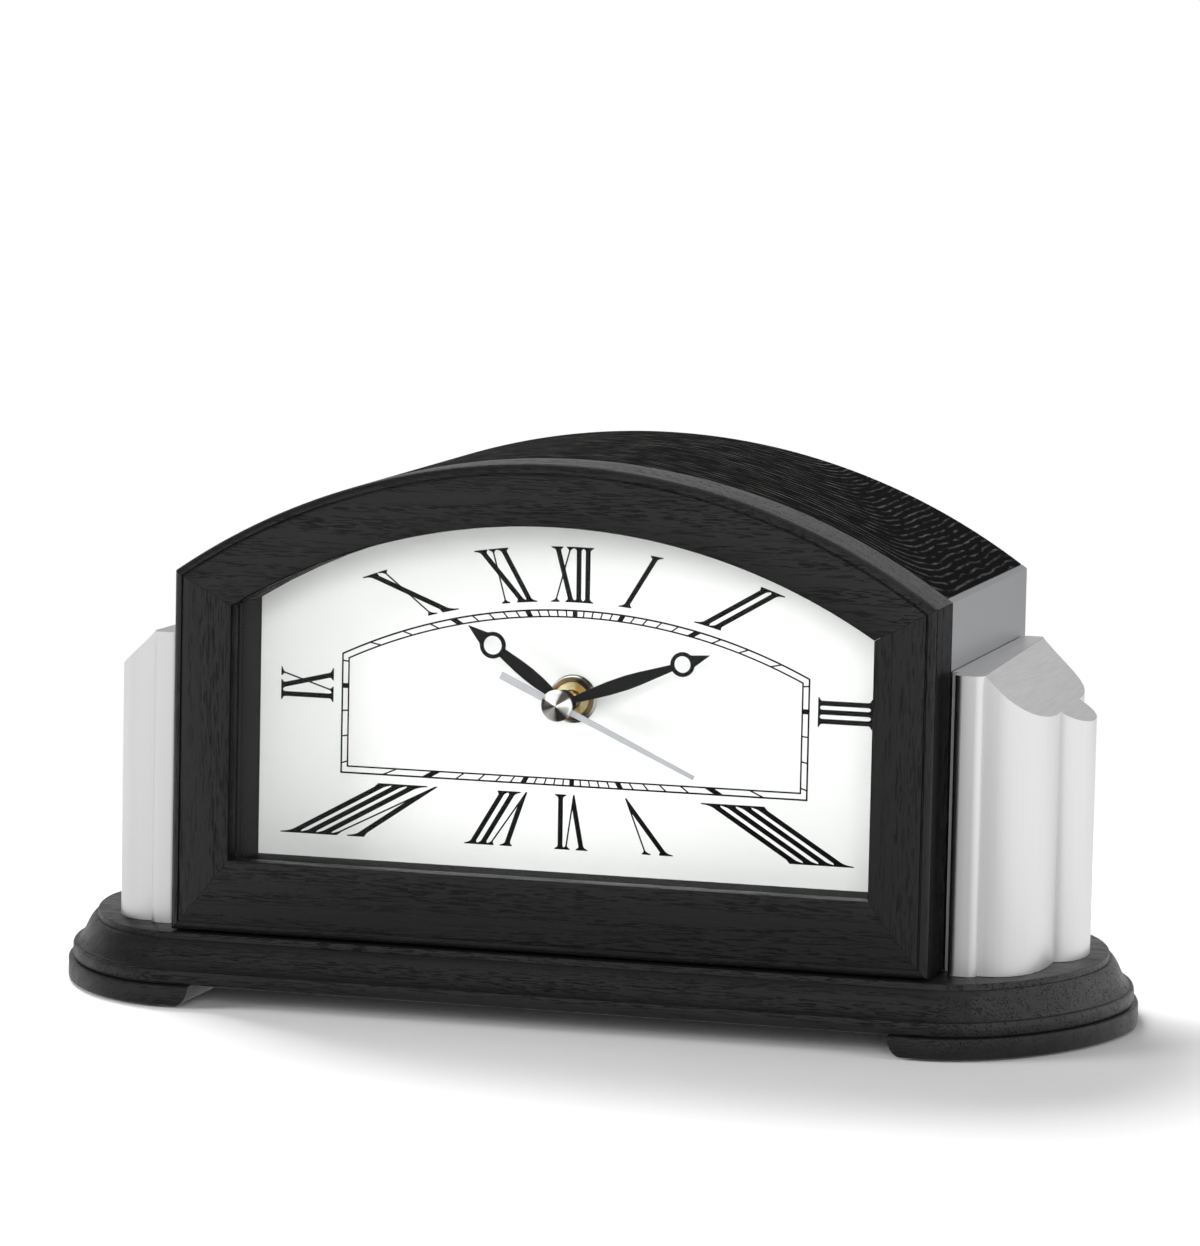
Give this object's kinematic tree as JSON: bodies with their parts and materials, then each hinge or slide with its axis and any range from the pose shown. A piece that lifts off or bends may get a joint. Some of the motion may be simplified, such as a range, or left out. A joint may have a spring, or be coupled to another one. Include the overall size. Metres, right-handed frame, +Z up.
{
  "type": "mantel clock with speaker",
  "caption": "Arched mantel clock with a loudspeaker case behind its dial, lobed side columns, an oval-ended moulded base and a rear service door.",
  "frame": {"origin": "on the surface it stands on, under the middle of the base", "axes": "+Z up, +Y to the rear, +X to the right of someone facing the dial"},
  "size_m": [0.3074, 0.132, 0.1552],
  "materials": {
    "black_oak": "black stained open grain, satin",
    "oak_veneer": "black stained veneer, satin",
    "satin_aluminium": "satin, brushed on the coved top",
    "dark_aluminium": "satin",
    "glass": "clear",
    "white_enamel": "matt white",
    "black_paint": "semi-matt",
    "black_plastic": "fine texture",
    "steel": "fine turned",
    "brass": "turned",
    "rubber": "matt",
    "board": "raw fibre board",
    "paper": "pressed pulp",
    "circuit_board": "solder mask",
    "cell_wrap": "plain sleeve"
  },
  "bodies": {
    "case": {"plinth": "black_oak", "foot_left": "black_oak", "foot_right": "black_oak", "foot_pad_front_left": "rubber", "foot_pad_front_right": "rubber", "foot_pad_rear_left": "rubber", "foot_pad_rear_right": "rubber", "frame_arch_rail": "black_oak", "frame_stile_left": "black_oak", "frame_stile_right": "black_oak", "frame_bottom_rail": "black_oak", "case_top": "oak_veneer", "case_cheek_left": "dark_aluminium", "case_cheek_right": "dark_aluminium", "case_floor": "board", "rear_batten_left": "board", "rear_batten_right": "board", "column_left": "satin_aluminium", "column_right": "satin_aluminium", "dial_glass": "glass", "dial_surround": "black_paint", "dial_plate": "white_enamel", "dial_backer": "board", "dial_washer": "steel", "centre_nut": "brass", "movement_housing": "black_plastic", "movement_cover": "black_plastic", "cell": "cell_wrap", "cell_contact_positive": "steel", "cell_contact_negative": "steel", "speaker_basket_left": "black_paint", "speaker_basket_right": "black_paint", "speaker_surround_left": "rubber", "speaker_surround_right": "rubber", "grille_left": "black_paint", "grille_right": "black_paint", "rear_panel": "black_plastic", "hinge_leaf_fixed": "brass", "hinge_pin": "steel", "amplifier_board": "circuit_board", "charging_port": "steel", "rechargeable_pack": "cell_wrap"},
    "second_hand": {"second_hand": "steel", "second_cap": "steel", "second_arbor": "steel"},
    "minute_hand": {"minute_hand": "black_paint", "minute_arbor": "brass"},
    "hour_hand": {"hour_hand": "black_paint", "hour_wheel": "brass"},
    "setting_wheel": {"setting_wheel": "brass", "setting_knob": "black_plastic"},
    "rear_door": {"rear_door": "black_plastic", "hinge_leaf_door": "brass", "door_pull": "brass"},
    "power_button": {"power_button": "black_plastic"},
    "pairing_button": {"pairing_button": "black_plastic"},
    "volume_down_button": {"volume_down_button": "black_plastic"},
    "volume_up_button": {"volume_up_button": "black_plastic"},
    "cone_left": {"speaker_cone_left": "paper"},
    "cone_right": {"speaker_cone_right": "paper"}
  },
  "joints": [
    {"name": "second_hand_turn", "type": "hinge", "parent": "case", "child": "second_hand", "pos_m": [0, 0, 0.0882], "axis": [0, 1, 0], "continuous": true},
    {"name": "minute_hand_turn", "type": "hinge", "parent": "case", "child": "minute_hand", "pos_m": [0, 0, 0.0882], "axis": [0, 1, 0], "continuous": true},
    {"name": "hour_hand_turn", "type": "hinge", "parent": "case", "child": "hour_hand", "pos_m": [0, 0, 0.0882], "axis": [0, 1, 0], "continuous": true},
    {"name": "setting_wheel_turn", "type": "hinge", "parent": "case", "child": "setting_wheel", "pos_m": [0, 0, 0.0966], "axis": [0, 1, 0], "continuous": true},
    {"name": "rear_door_hinge", "type": "hinge", "parent": "case", "child": "rear_door", "pos_m": [-0.038, 0.0578, 0.088], "axis": [0, 0, 1], "range_deg": [0, 110]},
    {"name": "power_button_press", "type": "slide", "parent": "case", "child": "power_button", "axis": [0, -1, 0], "range_m": [0, 0.0008], "stiffness_N_per_m": 600},
    {"name": "pairing_button_press", "type": "slide", "parent": "case", "child": "pairing_button", "axis": [0, -1, 0], "range_m": [0, 0.0008], "stiffness_N_per_m": 600},
    {"name": "volume_down_button_press", "type": "slide", "parent": "case", "child": "volume_down_button", "axis": [0, -1, 0], "range_m": [0, 0.0008], "stiffness_N_per_m": 600},
    {"name": "volume_up_button_press", "type": "slide", "parent": "case", "child": "volume_up_button", "axis": [0, -1, 0], "range_m": [0, 0.0008], "stiffness_N_per_m": 600},
    {"name": "cone_left_stroke", "type": "slide", "parent": "case", "child": "cone_left", "axis": [0, 1, 0], "range_m": [-0.0015, 0.0015], "stiffness_N_per_m": 1200, "deforming": ["speaker_surround_left"]},
    {"name": "cone_right_stroke", "type": "slide", "parent": "case", "child": "cone_right", "axis": [0, 1, 0], "range_m": [-0.0015, 0.0015], "stiffness_N_per_m": 1200, "deforming": ["speaker_surround_right"]}
  ],
  "couplings": [
    {"joint": "minute_hand_turn", "follows": "second_hand_turn", "ratio": 0.016667},
    {"joint": "hour_hand_turn", "follows": "second_hand_turn", "ratio": 0.0013889},
    {"joint": "setting_wheel_turn", "follows": "second_hand_turn", "ratio": -0.0055556}
  ]
}
